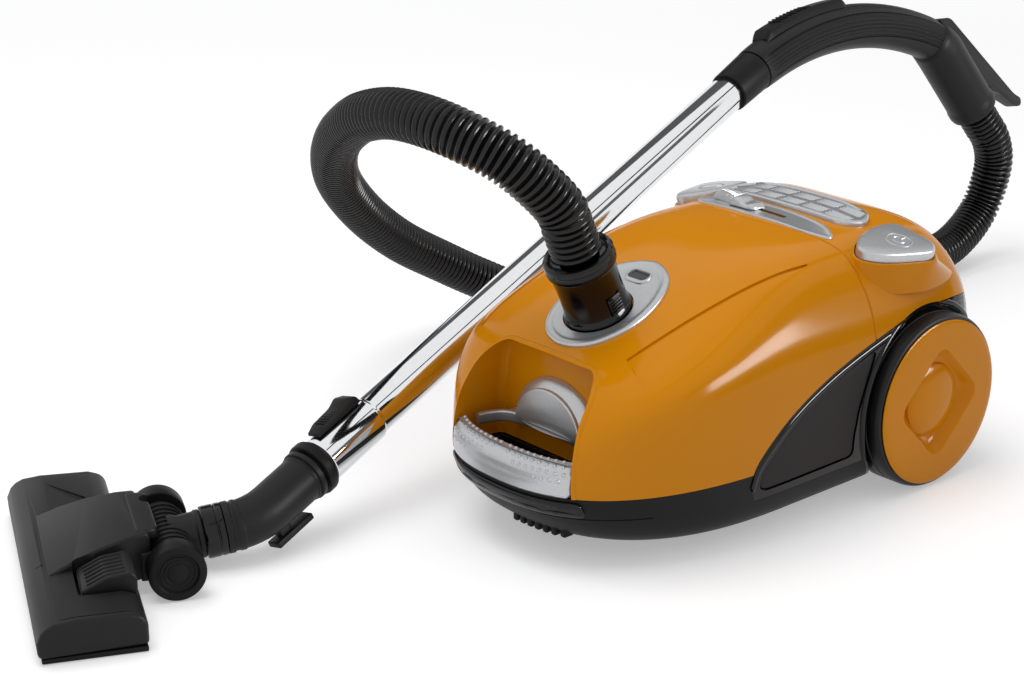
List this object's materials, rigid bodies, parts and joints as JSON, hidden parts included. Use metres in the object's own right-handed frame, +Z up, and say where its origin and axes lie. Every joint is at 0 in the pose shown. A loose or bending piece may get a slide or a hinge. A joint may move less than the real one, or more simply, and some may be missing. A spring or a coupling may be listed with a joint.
{
  "type": "cylinder vacuum cleaner",
  "caption": "Cylinder vacuum cleaner on wheels with a hinged lid, ribbed hose, bent handle, telescopic tube and tilting floor head.",
  "frame": {"origin": "on the floor, under the middle of everything but the hose", "axes": "+Z up; -Y the canister's front, where its carrying bar is; +X its right side, where the power pedal is"},
  "size_m": [0.5674, 1.3034, 0.3473],
  "materials": {
    "amber_shell": "deep amber gloss, clear coated",
    "silver_trim": "silver paint with a soft gloss",
    "gloss_black": "polished black",
    "satin_black": "satin black",
    "head_black": "fine-textured dark grey",
    "warm_grey": "warm dark grey, fine texture",
    "hose_black": "black, semi-gloss, ribbed",
    "rubber": "matt black rubber",
    "chrome_tube": "polished chrome",
    "steel": "plain steel",
    "pale_grey": "pale grey, unpainted",
    "filter_white": "off-white filter cloth",
    "board_green": "green circuit board",
    "smoked": "smoked, see-through dark"
  },
  "bodies": {
    "canister": {"base_tub": "satin_black", "front_bumper": "satin_black", "handle_bar": "silver_trim", "rear_shell": "amber_shell", "exhaust_grille": "silver_trim", "slider_panel": "silver_trim", "arch_trim_left": "gloss_black", "arch_trim_right": "gloss_black", "side_panel_left": "warm_grey", "side_panel_right": "warm_grey", "axle_left": "steel", "axle_right": "steel", "dust_container": "pale_grey", "container_filter": "filter_white", "motor_bulkhead": "satin_black", "motor_housing": "pale_grey", "motor": "steel", "control_board": "board_green", "exhaust_filter": "filter_white", "cord_outlet": "satin_black", "suction_hose": "hose_black", "outer_tube": "chrome_tube", "tube_collar": "satin_black", "handle_ferrule": "satin_black", "handle_grip": "head_black", "hose_socket": "head_black", "socket_screw": "steel"},
    "wheel_left": {"rim_left": "amber_shell", "tyre_left": "rubber"},
    "wheel_right": {"rim_right": "amber_shell", "tyre_right": "rubber"},
    "castor": {"castor_fork": "satin_black", "castor_axle": "steel"},
    "castor_roller": {"castor_wheel": "rubber"},
    "lid": {"lid": "amber_shell", "inlet_plate": "silver_trim", "indicator_window": "smoked"},
    "latch": {"latch_lever": "silver_trim"},
    "cuff": {"hose_cuff": "gloss_black"},
    "cuff_button_left": {"cuff_button_left": "satin_black"},
    "cuff_button_right": {"cuff_button_right": "satin_black"},
    "power_pedal": {"power_pedal": "silver_trim"},
    "rewind_pedal": {"rewind_pedal": "silver_trim"},
    "suction_slider": {"suction_slider": "silver_trim"},
    "fan": {"motor_fan": "steel"},
    "reel": {"cable_reel": "satin_black"},
    "air_slider": {"air_slider": "satin_black"},
    "lock_lever": {"lock_lever": "satin_black"},
    "telescope": {"inner_tube": "chrome_tube", "elbow": "head_black"},
    "neck": {"swivel_collar": "gloss_black", "neck": "head_black"},
    "head": {"head_cover": "head_black", "head_sole": "satin_black", "roller_axle": "steel"},
    "head_roller_left": {"head_roller_left": "head_black"},
    "head_roller_right": {"head_roller_right": "head_black"},
    "rocker": {"rocker_pedal": "head_black"},
    "brushes": {"brush_front": "rubber", "brush_rear": "rubber"}
  },
  "joints": [
    {"name": "wheel_left_roll", "type": "hinge", "parent": "canister", "child": "wheel_left", "pos_m": [-0.03902, 0.06882, 0.074], "axis": [1, 0, 0], "continuous": true},
    {"name": "wheel_right_roll", "type": "hinge", "parent": "canister", "child": "wheel_right", "pos_m": [0.20898, 0.06882, 0.074], "axis": [1, 0, 0], "continuous": true},
    {"name": "castor_swivel", "type": "hinge", "parent": "canister", "child": "castor", "pos_m": [0.08498, -0.20118, 0.034], "axis": [0, 0, 1], "continuous": true},
    {"name": "castor_roll", "type": "hinge", "parent": "castor", "child": "castor_roller", "pos_m": [0.08498, -0.19318, 0.014], "axis": [1, 0, 0], "continuous": true},
    {"name": "lid_hinge", "type": "hinge", "parent": "canister", "child": "lid", "pos_m": [0.08498, 0.00282, 0.208], "axis": [1, 0, 0], "range_deg": [-55, 0], "deforming": ["suction_hose"]},
    {"name": "latch_lift", "type": "hinge", "parent": "lid", "child": "latch", "pos_m": [0.08498, -0.22418, 0.128], "axis": [1, 0, 0], "range_deg": [-12, 0], "stiffness_Nm_per_rad": 0.6, "springref_deg": 8.59},
    {"name": "cuff_turn", "type": "hinge", "parent": "lid", "child": "cuff", "pos_m": [0.08498, -0.18018, 0.169], "axis": [0, -0.4067, 0.9135], "continuous": true},
    {"name": "cuff_button_left_press", "type": "slide", "parent": "cuff", "child": "cuff_button_left", "axis": [1, 0, 0], "range_m": [0, 0.002], "stiffness_N_per_m": 600, "springref_m": -0.002},
    {"name": "cuff_button_right_press", "type": "slide", "parent": "cuff", "child": "cuff_button_right", "axis": [-1, 0, 0], "range_m": [0, 0.002], "stiffness_N_per_m": 600, "springref_m": -0.002},
    {"name": "power_press", "type": "slide", "parent": "canister", "child": "power_pedal", "axis": [-0.225, 0, -0.9744], "range_m": [0, 0.0035], "stiffness_N_per_m": 900, "springref_m": -0.004},
    {"name": "rewind_press", "type": "slide", "parent": "canister", "child": "rewind_pedal", "axis": [0.225, 0, -0.9744], "range_m": [0, 0.0035], "stiffness_N_per_m": 900, "springref_m": -0.004},
    {"name": "suction_setting", "type": "hinge", "parent": "canister", "child": "suction_slider", "pos_m": [0.08498, 0.00382, -0.342], "axis": [0, 1, 0], "range_deg": [0, 5.1]},
    {"name": "fan_spin", "type": "hinge", "parent": "canister", "child": "fan", "pos_m": [0.08498, -0.00318, 0.09], "axis": [0, 1, 0], "continuous": true},
    {"name": "reel_spin", "type": "hinge", "parent": "canister", "child": "reel", "pos_m": [0.08498, 0.06082, 0.17], "axis": [0, 0, 1], "continuous": true},
    {"name": "air_setting", "type": "hinge", "parent": "canister", "child": "air_slider", "pos_m": [-0.05639, 0.34857, -0.09984], "axis": [-0.9728, -0.0693, -0.2209], "range_deg": [0, 3.5]},
    {"name": "tube_lock", "type": "slide", "parent": "canister", "child": "lock_lever", "axis": [0.1424, -0.9314, -0.335], "range_m": [0, 0.006], "stiffness_N_per_m": 400, "springref_m": -0.004},
    {"name": "tube_extend", "type": "slide", "parent": "canister", "child": "telescope", "axis": [0.1424, -0.9314, -0.335], "range_m": [0, 0.33]},
    {"name": "neck_swivel", "type": "hinge", "parent": "telescope", "child": "neck", "pos_m": [-0.03019, -0.43393, 0.03023], "axis": [-0.4196, -0.8999, -0.119], "range_deg": [-110, 110]},
    {"name": "head_tilt", "type": "hinge", "parent": "neck", "child": "head", "pos_m": [-0.05914, -0.49602, 0.02202], "axis": [0.9063, -0.4226, 0], "range_deg": [-55, 6]},
    {"name": "head_roller_left_roll", "type": "hinge", "parent": "head", "child": "head_roller_left", "pos_m": [-0.05914, -0.49602, 0.02202], "axis": [0.9063, -0.4226, 0], "continuous": true},
    {"name": "head_roller_right_roll", "type": "hinge", "parent": "head", "child": "head_roller_right", "pos_m": [-0.05914, -0.49602, 0.02202], "axis": [0.9063, -0.4226, 0], "continuous": true},
    {"name": "rocker_tip", "type": "hinge", "parent": "head", "child": "rocker", "pos_m": [-0.01629, -0.57448, 0.02802], "axis": [0.9063, -0.4226, 0], "range_deg": [-10, 0]},
    {"name": "brush_drop", "type": "slide", "parent": "head", "child": "brushes", "axis": [0, 0, -1], "range_m": [0, 0.0041]}
  ],
  "couplings": [
    {"joint": "brush_drop", "follows": "rocker_tip", "m_per_rad": -0.022918}
  ]
}
